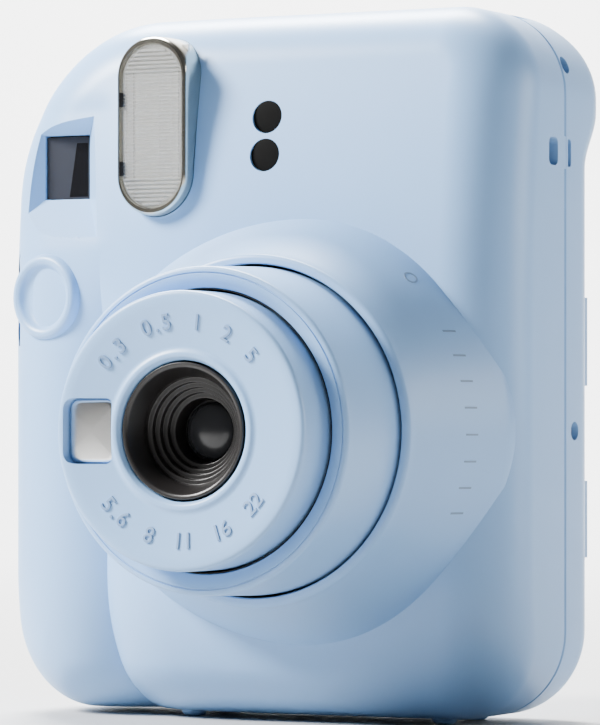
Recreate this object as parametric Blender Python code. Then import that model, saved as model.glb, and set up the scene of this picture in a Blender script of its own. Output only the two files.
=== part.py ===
"""Instant camera, built from its separate pieces. Sizes are in millimetres until a mesh is made.

X runs to the viewer's right, -Y is the front, +Z is up, and Z = 0 is the level of the feet.
"""
import math

import bmesh
import bpy
from mathutils import Matrix, Vector

MM = 0.001
GAP = 0.3
WALL = 2.0

# The body's outline, seen from the front
RIGHT, LEFT, TOP, BOTTOM = 52.0, -52.0, 123.0, 1.0
RADIUS_TOP_LEFT, RADIUS_TOP_RIGHT = 31.0, 15.0
RADIUS_BOTTOM_LEFT, RADIUS_BOTTOM_RIGHT = 15.7, 15.0
FRONT_Y, SEAM_Y, REAR_Y, RIDGE_Y = -1.0, 24.2, 39.0, 44.0
EDGE_LEFT, EDGE_RIGHT, EDGE_TOP, EDGE_BOTTOM, EDGE_REAR = 14.0, 12.0, 9.0, 9.0, 8.0

# The finger groove beside the grip: a vertical cut's centre, radius and top
GROOVE, GROOVE_R, GROOVE_HIGH = (-27.0, -7.2, 0.0), 9.0, 66.0

# The lens, which stands out along -Y from this axis
LENS_X, LENS_Z = 13.7, 50.4
HUMP_FRONT_Y, HUMP_HOLE_R = -19.1, 27.9
RING_FRONT_Y, RING_R = -36.4, 27.4
FACE_Y, BARREL_R, APERTURE_R = -44.0, 22.8, 11.3

# Film chamber, the doors behind it, and the grip's battery space. The film door ends below the
# ridge over the rollers, which would otherwise swing into the rear cover with it.
PACK_LOW, PACK_HIGH = (-20.0, 21.6, 11.6), (46.6, 33.4, 102.4)
DOOR_LEFT, DOOR_RIGHT, DOOR_LOW, DOOR_HIGH = -20.4, 45.6, 5.8, 95.4
CELL_R, CELL_LOW, CELL_HIGH = 7.0, 13.0, 63.0
CELL_FRONT, CELL_REAR = (-41.6, 18.6), (-30.2, 28.4)

# Controls and windows, by X and Z
FLASH_X, FLASH_Z, FLASH_Y = -14.8, 103.3, -2.2
BUTTON_X, BUTTON_Y, BUTTON_Z, BUTTON_TURN = -38.8, 3.1, 74.1, 13.0
FINDER_X, FINDER_Z = -37.8, 97.2
SENSOR_X, SENSOR_HIGH_Z, SENSOR_LOW_Z, SENSOR_R = 6.0, 104.4, 97.8, 2.8

# Film rollers and their gear train
ROLLER_Z, ROLLER_R, DRIVE_Y, PRESSURE_Y = 111.0, 3.2, 23.6, 30.2
MODULE, GEAR_LEFT, GEAR_RIGHT = 0.6, -24.2, -22.6
PINION_TEETH, IDLER_TEETH, ROLLER_TEETH = 8, 21, 11


# ---------------------------------------------------------------- materials and objects

def material(name, colour, roughness, metallic=0.0, alpha=1.0):
    made = bpy.data.materials.new(name)
    made.use_nodes = True
    shader = made.node_tree.nodes["Principled BSDF"]
    shader.inputs["Base Color"].default_value = (*colour, 1.0)
    shader.inputs["Roughness"].default_value = roughness
    shader.inputs["Metallic"].default_value = metallic
    shader.inputs["Alpha"].default_value = alpha
    return made


def make(name, bm, finish):
    """Turn a mesh drawn in millimetres into a named object in metres."""
    bmesh.ops.remove_doubles(bm, verts=bm.verts, dist=1e-5)
    bmesh.ops.recalc_face_normals(bm, faces=bm.faces)
    bmesh.ops.scale(bm, vec=(MM, MM, MM), verts=bm.verts)
    mesh = bpy.data.meshes.new(name)
    bm.to_mesh(mesh)
    bm.free()
    piece = bpy.data.objects.new(name, mesh)
    bpy.context.scene.collection.objects.link(piece)
    if finish is not None:
        mesh.materials.append(finish)
    mesh.shade_smooth()
    mesh.set_sharp_from_angle(angle=math.radians(35))
    return piece


def combine(piece, tool, operation="DIFFERENCE"):
    """Cut, join or intersect piece with tool, and use the tool up."""
    modifier = piece.modifiers.new("Boolean", "BOOLEAN")
    modifier.operation = operation
    modifier.solver = "EXACT"
    modifier.object = tool
    bpy.context.view_layer.update()
    graph = bpy.context.evaluated_depsgraph_get()
    mesh = bpy.data.meshes.new_from_object(piece.evaluated_get(graph))
    piece.modifiers.clear()
    piece.data = mesh
    mesh.name = piece.name
    bpy.data.objects.remove(tool, do_unlink=True)
    mesh.set_sharp_from_angle(angle=math.radians(35))
    return piece


def copy_of(piece, name):
    twin = bpy.data.objects.new(name, piece.data.copy())
    bpy.context.scene.collection.objects.link(twin)
    return twin


def set_origin(piece, point):
    """Move the object's origin to a point in millimetres, such as one on its joint's axis."""
    place = Vector(point) * MM
    piece.data.transform(Matrix.Translation(-place))
    piece.location = place
    return piece


# ---------------------------------------------------------------- shapes

def loft(rings, start=None, end=None):
    """Skin closed rings of equal count. A point given as start or end closes that side as a fan."""
    bm = bmesh.new()
    rows = [[bm.verts.new(point) for point in ring] for ring in rings]
    count = len(rows[0])
    for low, high in zip(rows, rows[1:]):
        for k in range(count):
            n = (k + 1) % count
            bm.faces.new((low[k], low[n], high[n], high[k]))
    for row, centre in ((rows[0], start), (rows[-1], end)):
        if centre is None:
            bm.faces.new(row)
            continue
        tip = bm.verts.new(centre)
        for k in range(count):
            bm.faces.new((row[k], row[(k + 1) % count], tip))
    return bm


AXES = {"X": (1, 2, 0), "Y": (2, 0, 1), "Z": (0, 1, 2)}


def on_axis(axis, u, v, along):
    """A point with along measured on the axis and u, v on the next two axes in order."""
    point = [0.0, 0.0, 0.0]
    first, second, third = AXES[axis]
    point[first], point[second], point[third] = u, v, along
    return tuple(point)


def turned(profile, axis, centre, steps=32, closed=True):
    """Turn a profile of (radius, height) about an axis through centre. Radius 0 closes on the axis."""
    bm = bmesh.new()
    rows = []
    for radius, height in profile:
        row = []
        for k in range(steps if radius > 0 else 1):
            angle = 2 * math.pi * k / steps
            place = Vector(on_axis(axis, radius * math.cos(angle), radius * math.sin(angle), height))
            row.append(bm.verts.new(place + Vector(centre)))
        rows.append(row)
    pairs = list(zip(rows, rows[1:]))
    if closed:
        pairs.append((rows[-1], rows[0]))
    for low, high in pairs:
        for k in range(steps):
            corners = [low[k % len(low)], low[(k + 1) % len(low)], high[(k + 1) % len(high)],
                       high[k % len(high)]]
            ordered = list(dict.fromkeys(corners))
            if len(ordered) > 2:
                bm.faces.new(ordered)
    return bm


def rod(axis, centre, radius, low, high, steps=16):
    return turned([(0, low), (radius, low), (radius, high), (0, high)], axis, centre, steps, False)


def prism(points, axis, low, high):
    """Extrude a flat outline of (u, v) points along an axis."""
    return loft([[on_axis(axis, u, v, low) for u, v in points],
                 [on_axis(axis, u, v, high) for u, v in points]])


def box(low, high):
    corners = [(low[0], low[1]), (high[0], low[1]), (high[0], high[1]), (low[0], high[1])]
    return prism(corners, "Z", low[2], high[2])


def pill(half_width, half_height, steps=8):
    """Points (z, x) of an upright pill, for a prism along Y."""
    rise = half_height - half_width
    points = []
    for side, start in ((rise, 0.0), (-rise, math.pi)):
        for k in range(steps + 1):
            angle = start + math.pi * k / steps
            points.append((side + half_width * math.sin(angle), half_width * math.cos(angle)))
    return points


def coil(axis, centre, radius, wire, low, high, turns, sides=5, per_turn=10):
    """A helical spring of round wire."""
    total = int(turns * per_turn)
    rings = []
    for k in range(total + 1):
        angle = 2 * math.pi * k / per_turn
        height = low + (high - low) * k / total
        ring = []
        for s in range(sides):
            around = 2 * math.pi * s / sides
            reach = radius + wire * math.cos(around)
            spot = on_axis(axis, reach * math.cos(angle), reach * math.sin(angle),
                           height + wire * math.sin(around))
            ring.append(Vector(spot) + Vector(centre))
        rings.append(ring)
    return loft(rings)


# ---------------------------------------------------------------- the body's shell

def outline(inset, steps=5):
    """Points (x, z, normal x, normal z) round the body, moved in by inset."""
    corners = ((RIGHT, TOP, RADIUS_TOP_RIGHT, 0), (LEFT, TOP, RADIUS_TOP_LEFT, 90),
               (LEFT, BOTTOM, RADIUS_BOTTOM_LEFT, 180), (RIGHT, BOTTOM, RADIUS_BOTTOM_RIGHT, 270))
    points = []
    for x, z, radius, start in corners:
        middle_x, middle_z = x - math.copysign(radius, x), (z - radius if z > LENS_Z else z + radius)
        for k in range(steps + 1):
            angle = math.radians(start + 90 * k / steps)
            nx, nz = math.cos(angle), math.sin(angle)
            points.append((middle_x + (radius - inset) * nx, middle_z + (radius - inset) * nz, nx, nz))
    runs = []
    for k, point in enumerate(points):
        runs.append(point)
        after = points[(k + 1) % len(points)]
        if (k + 1) % (steps + 1) == 0:
            for part in (1 / 3, 2 / 3):
                runs.append((point[0] + (after[0] - point[0]) * part,
                             point[1] + (after[1] - point[1]) * part, after[2], after[3]))
    return runs


def front_y(x, z):
    """How far back the front face lies: it leans back to the top, the bottom and the left."""
    lean_top = 0.0024 * max(0.0, z - 71) ** 2
    lean_bottom = 0.010 * max(0.0, 26 - z) ** 2
    lean_left = 0.0030 * max(0.0, -4 - x) ** 2
    return FRONT_Y + lean_top + lean_bottom + lean_left


def front_edge(nx, nz):
    side = EDGE_RIGHT if nx > 0 else EDGE_LEFT
    end = EDGE_TOP if nz > 0 else EDGE_BOTTOM
    return side * nx * nx + end * nz * nz


def front_solid(inset, rear):
    """The front half as a solid, moved in by inset, from the plane y = rear to the front face."""
    edge = outline(inset)
    rings = [[(x, rear, z) for x, z, nx, nz in edge]]
    for turn in (0, 30, 60, 90):
        ring = []
        for x, z, nx, nz in edge:
            radius = front_edge(nx, nz) - inset
            inward = radius * (1 - math.cos(math.radians(turn)))
            px, pz = x - nx * inward, z - nz * inward
            depth = front_y(px, pz) + inset + radius * (1 - math.sin(math.radians(turn)))
            ring.append((px, depth, pz))
        rings.append(ring)
    middle_x, middle_z = 2.0, 62.0
    for part in (0.68, 0.34):
        ring = []
        for px, depth, pz in rings[4]:
            qx, qz = middle_x + (px - middle_x) * part, middle_z + (pz - middle_z) * part
            ring.append((qx, front_y(qx, qz) + inset, qz))
        rings.append(ring)
    return loft(rings, None, (middle_x, front_y(middle_x, middle_z) + inset, middle_z))


def hump_solid(inset):
    """The hump round the lens: a circle at its front that widens to the left where it meets the body."""
    front, base_y, steps = 29.6, 4.0, 40
    rings = [[], []]
    for k in range(steps):
        angle = 2 * math.pi * k / steps
        for ring, radius, depth in ((rings[0], 28.8, HUMP_FRONT_Y), (rings[1], front, HUMP_FRONT_Y + 0.6)):
            reach = radius - inset
            ring.append((LENS_X + reach * math.cos(angle), depth + inset, LENS_Z + reach * math.sin(angle)))
    for part in (0.35, 0.7, 1.0, 1.3):
        ring = []
        for k in range(steps):
            angle = 2 * math.pi * k / steps
            wide = 36.2 if math.cos(angle) > 0 else 46.0
            reach_x = front + (wide - front) * part - inset
            reach_z = front + (37.5 - front) * part - inset
            depth = HUMP_FRONT_Y + 0.6 + (base_y - HUMP_FRONT_Y - 0.6) * part + inset
            ring.append((LENS_X + reach_x * math.cos(angle), depth, LENS_Z + reach_z * math.sin(angle)))
        rings.append(ring)
    return loft(rings)


def rear_solid(inset, front, back):
    """The rear half as a solid with a flat back at y = back."""
    edge = outline(inset)
    rings = [[(x, front, z) for x, z, nx, nz in edge]]
    radius = EDGE_REAR - inset
    for turn in (0, 30, 60, 90):
        inward = radius * (1 - math.cos(math.radians(turn)))
        depth = back - inset - radius * (1 - math.sin(math.radians(turn)))
        rings.append([(x - nx * inward, depth, z - nz * inward) for x, z, nx, nz in edge])
    return loft(rings)


def ridge_solid(inset):
    """The roller housing: a bump across the back, with the body's own rounded edge."""
    section = ((28, 95.5), (39.3, 96), (41.3, 99), (43.2, 103), (44, 107), (43.7, 111), (42.2, 115),
               (39.3, 119), (35, 121.4), (28, 121.8))
    middle = sum(v for u, v in section) / len(section)
    moved = [(u if u == 28 else u - inset, v - math.copysign(inset, v - middle)) for u, v in section]
    ridge = make("ridge", prism(moved, "X", LEFT, RIGHT), None)
    envelope = make("envelope", rear_solid(inset, 26.0, RIDGE_Y), None)
    return combine(ridge, envelope, "INTERSECT")


def finder_recess(grow):
    """The sloping recess in front of the viewfinder window, as a tapered cutter."""
    def corners(x0, x1, z0, z1, y):
        return [(x0, y, z0), (x1, y, z0), (x1, y, z1), (x0, y, z1)]
    outer = corners(-46.6 - grow, -27.8 + grow, 84.9 - grow, 107.2 + grow, -6.0)
    inner = corners(-42.2 - grow, -33.4 + grow, 91.7 - grow, 102.8 + grow, 9.0 + grow)
    return loft([outer, inner])


def inward_button():
    """The direction in which the shutter button is pressed."""
    turn = math.radians(BUTTON_TURN)
    return Vector((math.sin(turn), math.cos(turn), 0))


BUTTON_CENTRE = Vector((BUTTON_X, BUTTON_Y, BUTTON_Z))


def along_button(bm):
    """Turn a shape made along +Y at the origin to lie on the button's axis."""
    turn = Matrix.Rotation(math.radians(-BUTTON_TURN), 4, "Z")
    bmesh.ops.transform(bm, matrix=Matrix.Translation(BUTTON_CENTRE) @ turn, verts=bm.verts)
    return bm


def build_front_cover(finish):
    cover = make("front_cover", front_solid(0.0, SEAM_Y - GAP / 2), finish)
    combine(cover, make("hump", hump_solid(0.0), None), "UNION")
    groove = rod("Z", GROOVE, GROOVE_R, -2.0, GROOVE_HIGH, 20)
    groove_wide = rod("Z", GROOVE, GROOVE_R + WALL, -2.0, GROOVE_HIGH + WALL, 20)
    hollow = make("hollow", front_solid(WALL, SEAM_Y + 5), None)
    combine(hollow, make("hump_inside", hump_solid(WALL), None), "UNION")
    combine(cover, make("groove", groove, None))
    combine(hollow, make("groove_wide", groove_wide, None))
    combine(hollow, make("finder_walls", finder_recess(1.6), None))
    combine(cover, hollow)
    combine(cover, make("finder_cut", finder_recess(0.0), None))
    finder_hole = box((-42.2, 6.0, 91.7), (-33.4, 14.0, 102.8))
    combine(cover, make("finder_hole", finder_hole, None))
    lens = (LENS_X, 0, LENS_Z)
    combine(cover, make("lens_hole", rod("Y", lens, HUMP_HOLE_R, -30, -12, 40), None))
    flash = prism([(FLASH_Z + u, FLASH_X + v) for u, v in pill(7.3, 15.9)], "Y", -8.0, 14.0)
    combine(cover, make("flash_hole", flash, None))
    for z in (SENSOR_HIGH_Z, SENSOR_LOW_Z):
        sensor = rod("Y", (SENSOR_X, 0, z), SENSOR_R + GAP, -8, 12, 16)
        combine(cover, make("sensor_hole", sensor, None))
    button = along_button(rod("Y", (0, 0, 0), 7.8, -6, 14, 28))
    combine(cover, make("button_hole", button, None))
    strap = box((45.0, 17.3, 95.8), (55.0, 21.1, 100.6))
    combine(cover, make("strap_cut", strap, None))
    for x in (-16.0, 33.0):
        foot = turned([(0, 0), (1.6, 0), (2.2, 0.5), (2.2, 2.6), (0, 2.6)], "Z", (x, 16.0, 0), 12, False)
        combine(cover, make("foot", foot, None), "UNION")
    return cover


def hinge_knuckles(x, y, spans, side):
    """Short barrels round a door's hinge pin, with a web that reaches sideways to their panel."""
    made = None
    for low, high in spans:
        barrel = make("knuckle", rod("Z", (x, y, 0), 1.5, low, high, 12), None)
        reach = sorted((x, x + side * 2.6))
        web = make("web", box((reach[0], y - 0.9, low), (reach[1], y + 0.9, high)), None)
        combine(barrel, web, "UNION")
        made = barrel if made is None else combine(made, barrel, "UNION")
    return made


FILM_HINGE = (47.2, 37.5)
BATTERY_HINGE = (-47.2, 37.5)


def build_rear_covers(shell_finish):
    """The rear cover, and the two doors cut from the same shell so that their surfaces run on."""
    shell = make("rear_cover", rear_solid(0.0, SEAM_Y + GAP / 2, REAR_Y), shell_finish)
    combine(shell, ridge_solid(0.0), "UNION")
    hollow = make("hollow", rear_solid(WALL, SEAM_Y - 5, REAR_Y), None)
    combine(hollow, ridge_solid(WALL), "UNION")
    combine(shell, hollow)

    film_door = copy_of(shell, "film_door")
    panel = box((DOOR_LEFT, 34.0, DOOR_LOW), (DOOR_RIGHT, 50.0, DOOR_HIGH))
    combine(film_door, make("panel", panel, None), "INTERSECT")
    opening = box((DOOR_LEFT - GAP, 34.0, DOOR_LOW - GAP), (48.9, 50.0, DOOR_HIGH + GAP))
    combine(shell, make("opening", opening, None))
    door_spans = ((16.0, 28.0), (42.0, 58.0), (74.0, 90.0))
    cover_spans = ((28.3, 41.7), (58.3, 73.7))
    knuckles = hinge_knuckles(*FILM_HINGE, door_spans, -1)
    combine(film_door, knuckles, "UNION")
    combine(film_door, make("bore", rod("Z", (*FILM_HINGE, 0), 0.95, 0, 120, 12), None))
    combine(shell, hinge_knuckles(*FILM_HINGE, cover_spans, 1), "UNION")
    combine(shell, make("bore", rod("Z", (*FILM_HINGE, 0), 0.95, 20, 80, 12), None))
    window = box((8.0, 30.0, 42.0), (16.0, 50.0, 68.0))
    combine(film_door, make("window", window, None))
    latch = box((-18.4, 30.0, 71.0), (-12.4, 50.0, 87.0))
    combine(film_door, make("latch_slot", latch, None))

    battery_door = copy_of(shell, "battery_door")
    panel = box((-45.6, 34.0, 8.0), (-24.6, 50.0, 66.0))
    combine(battery_door, make("panel", panel, None), "INTERSECT")
    opening = box((-48.9, 34.0, 8.0 - GAP), (-24.6 + GAP, 50.0, 66.0 + GAP))
    combine(shell, make("opening", opening, None))
    knuckles = hinge_knuckles(*BATTERY_HINGE, ((16.0, 24.0), (50.0, 62.0)), 1)
    combine(battery_door, knuckles, "UNION")
    combine(battery_door, make("bore", rod("Z", (*BATTERY_HINGE, 0), 0.95, 0, 80, 12), None))
    combine(shell, hinge_knuckles(*BATTERY_HINGE, ((24.3, 49.7),), -1), "UNION")
    combine(shell, make("bore", rod("Z", (*BATTERY_HINGE, 0), 0.95, 20, 55, 12), None))

    strap = box((45.0, 24.9, 95.8), (55.0, 26.7, 100.6))
    combine(shell, make("strap_cut", strap, None))
    slot = box((-15.6, 24.0, 116.0), (43.0, 29.0, 126.0))
    combine(shell, make("film_slot", slot, None))
    finder = box((FINDER_X - 5.6, 34.0, FINDER_Z - 5.6), (FINDER_X + 5.6, 50.0, FINDER_Z + 5.6))
    combine(shell, make("finder_hole", finder, None))
    counter = box((-41.0, 34.0, 77.0), (-33.0, 50.0, 83.0))
    combine(shell, make("counter_hole", counter, None))
    for side in (-1, 1):
        hole = rod("X", (0, 28.2, 50.4), 1.6, *sorted((side * 48.0, side * 56.0)), 12)
        combine(shell, make("screw_hole", hole, None))
    for x in (-16.0, 33.0):
        foot = turned([(0, 0), (1.6, 0), (2.2, 0.5), (2.2, 2.6), (0, 2.6)], "Z", (x, 29.0, 0), 12, False)
        combine(shell, make("foot", foot, None), "UNION")

    set_origin(film_door, (*FILM_HINGE, 50.0))
    set_origin(battery_door, (*BATTERY_HINGE, 37.0))
    return shell, film_door, battery_door


# ---------------------------------------------------------------- lens

def build_lens(blue, black, glass, mirror, grey):
    axis = (LENS_X, 0, LENS_Z)
    guide = turned([(28.3, -9.0), (29.6, -9.0), (29.6, 8.0), (33.4, 8.0), (33.4, 10.0), (28.3, 10.0)],
                   "Y", axis, 36)
    make("lens_guide_tube", guide, black)
    sleeve = turned([(23.5, -33.6), (25.1, -33.6), (25.1, -12.4), (27.5, -12.4), (27.5, -10.4),
                     (23.5, -10.4)], "Y", axis, 36)
    set_origin(make("ring_sleeve", sleeve, black), (LENS_X, -12.0, LENS_Z))
    ring = turned([(25.5, -13.0), (RING_R, -13.0), (RING_R, -19.0), (27.1, -33.0), (26.9, -36.0),
                   (26.5, RING_FRONT_Y), (25.8, -36.0), (23.3, -35.0), (23.3, -33.9), (25.5, -33.9)],
                  "Y", axis, 40)
    set_origin(make("lens_ring", ring, blue), (LENS_X, -19.0, LENS_Z))

    barrel = turned([(20.9, -16.0), (BARREL_R, -16.0), (BARREL_R, -43.2), (22.1, FACE_Y), (21.4, -43.7),
                     (13.0, -42.6), (12.2, -43.0), (APERTURE_R, -42.8), (APERTURE_R, -40.2), (20.9, -40.2)],
                    "Y", axis, 40)
    barrel = make("lens_barrel", barrel, blue)
    mirror_x = LENS_X - 17.0
    pocket = box((mirror_x - 4.6, -50, LENS_Z - 5.4), (mirror_x + 4.0, -41.4, LENS_Z + 5.4))
    combine(barrel, make("pocket", pocket, None))
    set_origin(barrel, (LENS_X, -40.0, LENS_Z))
    plate = box((mirror_x - 4.3, -42.2, LENS_Z - 5.1), (mirror_x + 3.7, -41.7, LENS_Z + 5.1))
    make("selfie_mirror", plate, mirror)

    steps = [(11.0, -42.4), (11.0, -41.2), (9.8, -41.2), (9.8, -39.2), (8.4, -39.2), (8.4, -37.2),
             (7.0, -37.2), (7.0, -35.0), (5.4, -35.0), (5.4, -32.6)]
    back = [(19.8, -32.6), (19.8, -33.6), (12.4, -34.4), (12.4, -39.9), (11.2, -39.9)]
    make("lens_baffle", turned(steps + back, "Y", axis, 32), black)
    dome = [(0, -34.4), (2.6, -34.0), (4.4, -32.9), (4.9, -31.8), (4.9, -30.6), (0, -30.6)]
    make("front_lens", turned(dome, "Y", axis, 20, False), glass)
    housing = [(5.2, -32.3), (19.8, -32.3), (19.8, -23.0), (5.2, -23.0), (5.2, -24.2), (17.6, -24.2),
               (17.6, -30.2), (5.2, -30.2)]
    make("shutter_housing", turned(housing, "Y", axis, 28), black)
    pivot_x, pivot_z = -10.0, -8.0
    toward_pivot = math.atan2(pivot_z, pivot_x)
    blade = []
    for x, z, radius, start in ((0.0, 0.0, 5.7, 0.5), (pivot_x, pivot_z, 1.8, -0.5)):
        for k in range(9):
            angle = toward_pivot + math.pi * (start + k / 8)
            blade.append((LENS_Z + z + radius * math.sin(angle), LENS_X + x + radius * math.cos(angle)))
    blade = make("shutter_blade", prism(blade, "Y", -28.4, -28.0), grey)
    set_origin(blade, (LENS_X + pivot_x, -28.2, LENS_Z + pivot_z))
    rear = [(0, -22.7), (6.0, -22.4), (6.0, -20.6), (0, -19.9)]
    make("rear_lens", turned(rear, "Y", axis, 20, False), glass)
    holder = [(6.3, -22.7), (19.6, -22.7), (19.6, -21.4), (7.6, -21.4), (7.6, -19.4), (6.3, -19.4)]
    make("rear_lens_holder", turned(holder, "Y", axis, 24), black)


# ---------------------------------------------------------------- front windows and controls

def build_front_details(blue, silver, glass, black, grey, steel):
    def flash_pill(half_width, half_height):
        return [(FLASH_Z + u, FLASH_X + v) for u, v in pill(half_width, half_height)]

    def at(points, y):
        return [on_axis("Y", u, v, y) for u, v in points]
    bezel = make("flash_bezel", loft([at(flash_pill(7.0, 15.6), 9.0), at(flash_pill(7.0, 15.6), -1.2),
                                      at(flash_pill(6.8, 15.4), FLASH_Y)]), silver)
    inside = loft([at(flash_pill(6.2, 14.4), -6.0), at(flash_pill(6.2, 14.4), 14.0)])
    combine(bezel, make("inside", inside, None))
    lens = loft([at(flash_pill(5.9, 14.1), 1.2), at(flash_pill(5.9, 14.1), -1.6),
                 at(flash_pill(5.5, 13.7), -2.0)])
    make("flash_lens", lens, glass)
    trough = [(-5.6, 1.6), (-5.0, 1.6), (-2.2, 6.4), (2.2, 6.4), (5.0, 1.6), (5.6, 1.6), (2.6, 7.4),
              (-2.6, 7.4)]
    points = [(FLASH_X + u, v) for u, v in trough]
    make("flash_reflector", prism(points, "Z", FLASH_Z - 8.6, FLASH_Z + 8.6), silver)
    make("flash_tube", rod("Z", (FLASH_X, 4.0, 0), 1.2, FLASH_Z - 9.6, FLASH_Z + 9.6, 12), glass)

    window = box((-41.9, 9.2, 92.0), (-33.7, 10.2, 102.5))
    make("viewfinder_window", window, glass)
    finder = make("viewfinder_tube", box((-43.0, 10.6, 91.4), (-32.8, 35.6, 103.0)), black)
    combine(finder, make("inside", box((-41.8, 5.0, 92.6), (-34.0, 45.0, 101.8)), None))
    eyepiece = make("eyepiece", box((FINDER_X - 5.3, 36.0, FINDER_Z - 5.3),
                                    (FINDER_X + 5.3, 43.6, FINDER_Z + 5.3)), black)
    combine(eyepiece, make("inside", box((-41.2, 38.0, 93.8), (-34.4, 48.0, 100.6)), None))

    for name, z in (("sensor_window_upper", SENSOR_HIGH_Z), ("sensor_window_lower", SENSOR_LOW_Z)):
        front = front_y(SENSOR_X, z) + 0.4
        make(name, rod("Y", (SENSOR_X, 0, z), SENSOR_R, front, front + 2.2, 16), black)
    make("light_sensor", box((3.0, 6.4, 99.0), (7.0, 8.7, 103.0)), black)

    profile = [(0, -0.4), (4.6, -0.4), (5.6, -1.3), (6.6, -1.3), (7.4, -0.2), (7.4, 3.4), (6.2, 3.4),
               (6.2, 1.4), (1.6, 1.4), (1.6, 4.6), (0, 4.6)]
    button = make("shutter_button", along_button(turned(profile, "Y", (0, 0, 0), 28, False)), blue)
    set_origin(button, BUTTON_CENTRE)
    spring = along_button(coil("Y", (0, 0, 0), 3.6, 0.3, 3.1, 7.2, 3.5))
    make("button_spring", spring, steel)
    switch = box((-5.6, 8.0, -3.0), (5.6, 11.0, 3.0))
    make("button_switch", along_button(switch), black)

    make("main_board", box((-5.0, 9.0, 87.0), (44.0, 10.6, 114.0)), grey)
    make("flash_capacitor", rod("X", (0, 15.6, 92.4), 4.3, -10.0, 22.0, 20), black)


# ---------------------------------------------------------------- power

def build_power(black, steel, orange):
    plan = [(-49.4, 17.0), (-44.0, 10.0), (-22.4, 10.0), (-22.4, 33.8), (-46.0, 33.8), (-49.4, 30.0)]
    battery = make("battery_box", prism(plan, "Z", 9.0, 66.4), black)
    combine(battery, make("inside", box((-56, 11.2, 10.4), (-16, 46.0, 65.0)), None))
    combine(battery, make("envelope", front_solid(WALL + GAP, 60.0), None), "INTERSECT")
    for name, (x, y) in (("cell_front", CELL_FRONT), ("cell_rear", CELL_REAR)):
        profile = [(0, CELL_LOW), (CELL_R, CELL_LOW), (CELL_R, CELL_HIGH - 1.2), (2.6, CELL_HIGH - 1.2),
                   (2.6, CELL_HIGH), (0, CELL_HIGH)]
        make(name, turned(profile, "Z", (x, y, 0), 20, False), orange)
    for name, (x, y) in (("battery_spring_front", CELL_FRONT), ("battery_spring_rear", CELL_REAR)):
        make(name, coil("Z", (x, y, 0), 3.4, 0.3, CELL_LOW - 2.1, CELL_LOW - 0.7, 2.5), steel)
    plate = [(-45.0, 15.0), (-41.0, 13.0), (-25.0, 27.0), (-27.0, 32.0), (-31.0, 32.0)]
    make("battery_contact_plate", prism(plate, "Z", CELL_HIGH + 0.4, CELL_HIGH + 1.0), steel)


# ---------------------------------------------------------------- film transport

def gear(name, teeth, y, z, phase, finish, bore=0.0):
    """A spur gear on an axis along X, with slim teeth for easy running. phase is one tooth's angle."""
    pitch = MODULE * teeth / 2
    tip, root = pitch + 0.42, pitch - 0.72
    points = []
    for k in range(teeth):
        middle = phase + 2 * math.pi * k / teeth
        for radius, share in ((root, -0.30), (tip, -0.13), (tip, 0.13), (root, 0.30)):
            angle = middle + share * 2 * math.pi / teeth
            points.append((y + radius * math.cos(angle), z + radius * math.sin(angle)))
    wheel = make(name, prism(points, "X", GEAR_LEFT, GEAR_RIGHT), finish)
    if bore:
        combine(wheel, make("bore", rod("X", (0, y, z), bore, -40, 0, 12), None))
    return set_origin(wheel, ((GEAR_LEFT + GEAR_RIGHT) / 2, y, z))


def gap_phase(teeth, toward):
    """The phase that turns a gap, not a tooth, to the angle toward."""
    return toward + math.pi / teeth


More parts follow.
